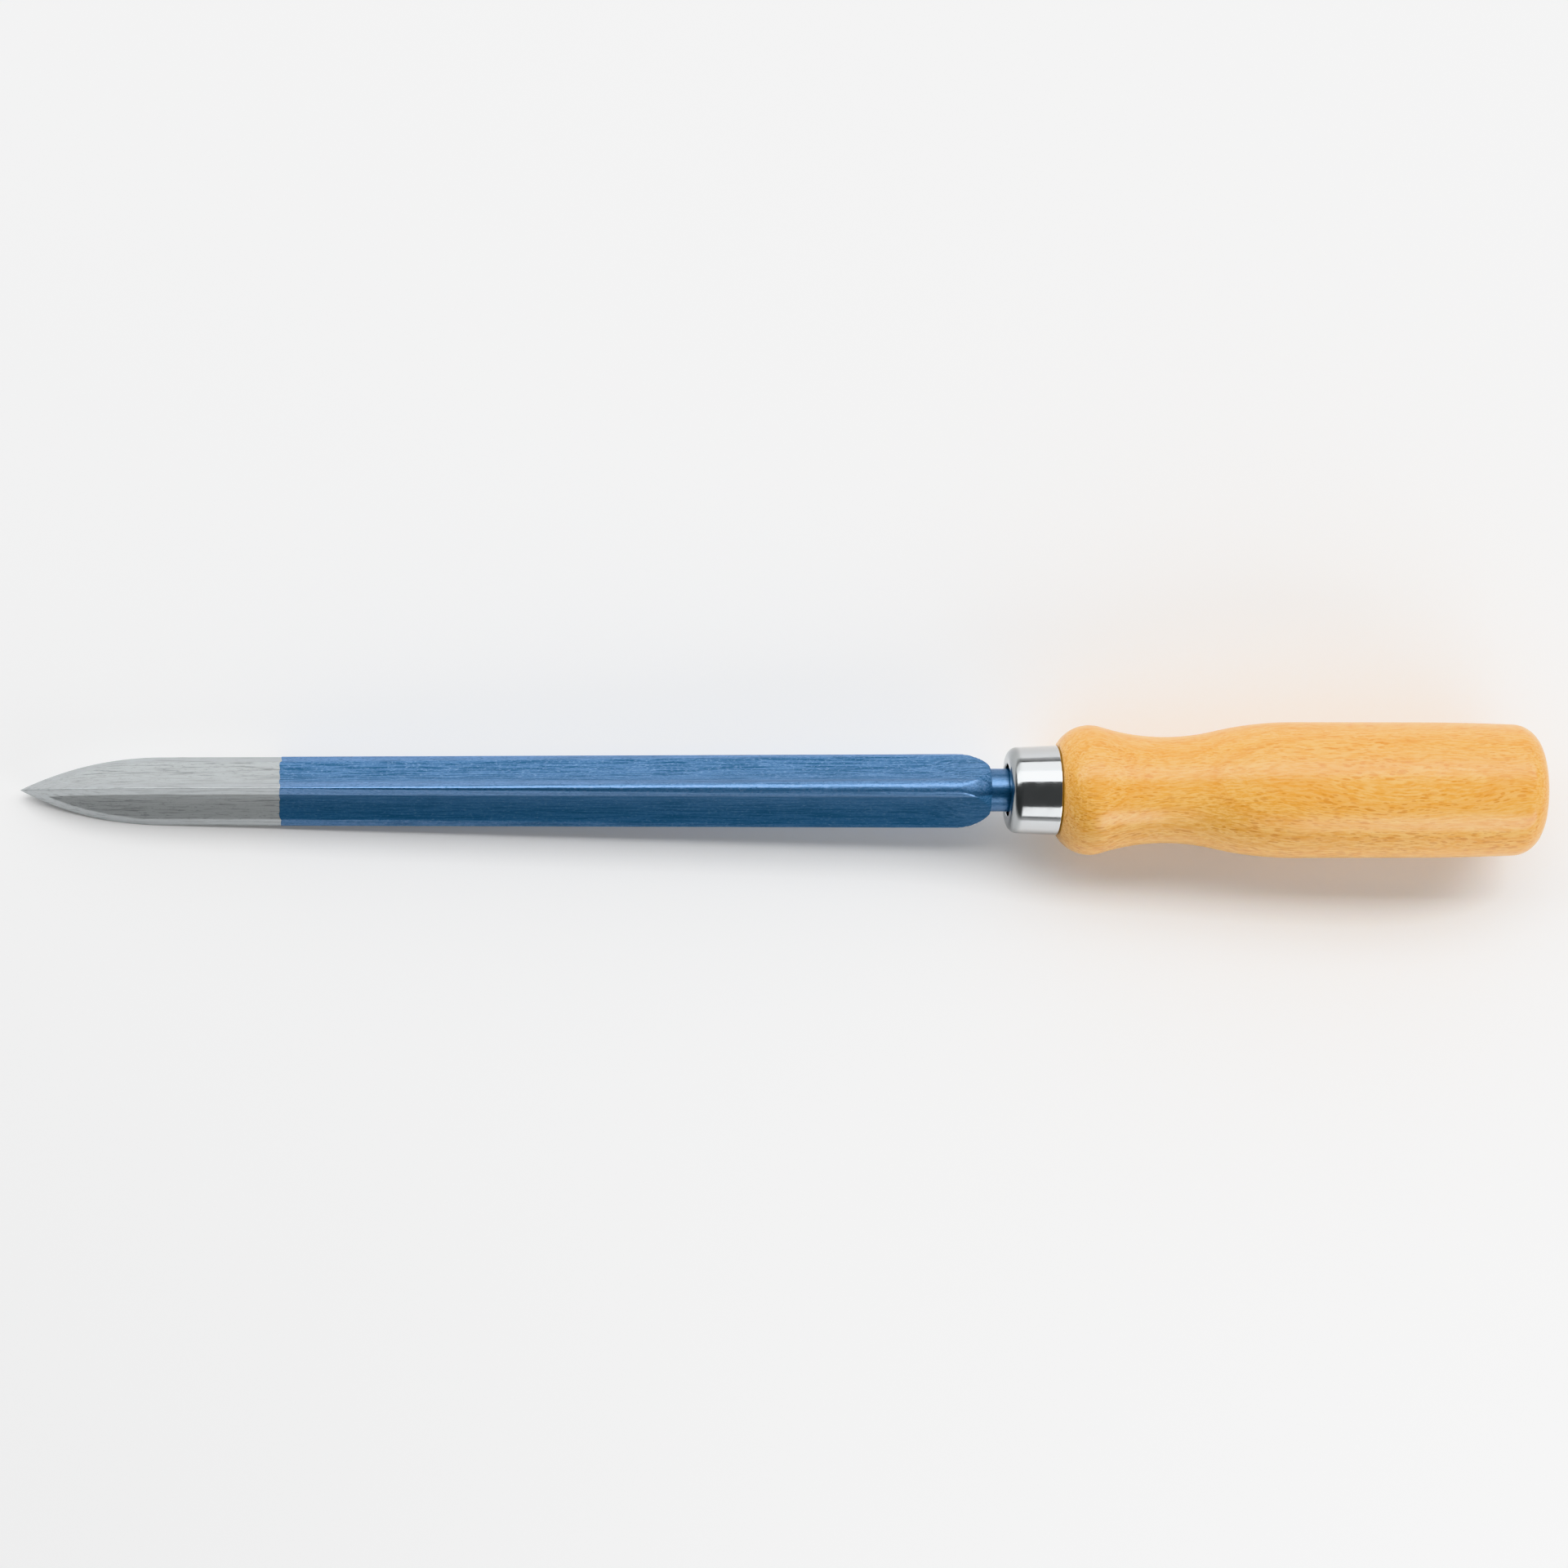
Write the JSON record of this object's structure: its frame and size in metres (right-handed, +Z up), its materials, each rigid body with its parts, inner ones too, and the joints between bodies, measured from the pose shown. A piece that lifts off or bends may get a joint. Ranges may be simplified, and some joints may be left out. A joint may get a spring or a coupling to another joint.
{
  "type": "triangular scraper",
  "caption": "Hand scraper: a tapering hollow-faced triangular steel blade with a bright pointed tip and blue enamelled shank, a plated ferrule and a turned wooden handle.",
  "frame": {"origin": "on the surface that the tool lies on, under the middle of its length", "axes": "+X from the point toward the butt of the handle, +Z up; the tool's own axis rises a little toward the butt"},
  "size_m": [0.3174, 0.0286, 0.0319],
  "materials": {
    "blade_steel": "blue enamel over drawn steel on the shank, bare ground steel on the point",
    "plated_ferrule": "bright plated steel",
    "lacquered_beech": "clear satin lacquer on turned beech"
  },
  "bodies": {
    "root": {"blade": "blade_steel", "ferrule": "plated_ferrule", "handle": "lacquered_beech"}
  },
  "joints": []
}
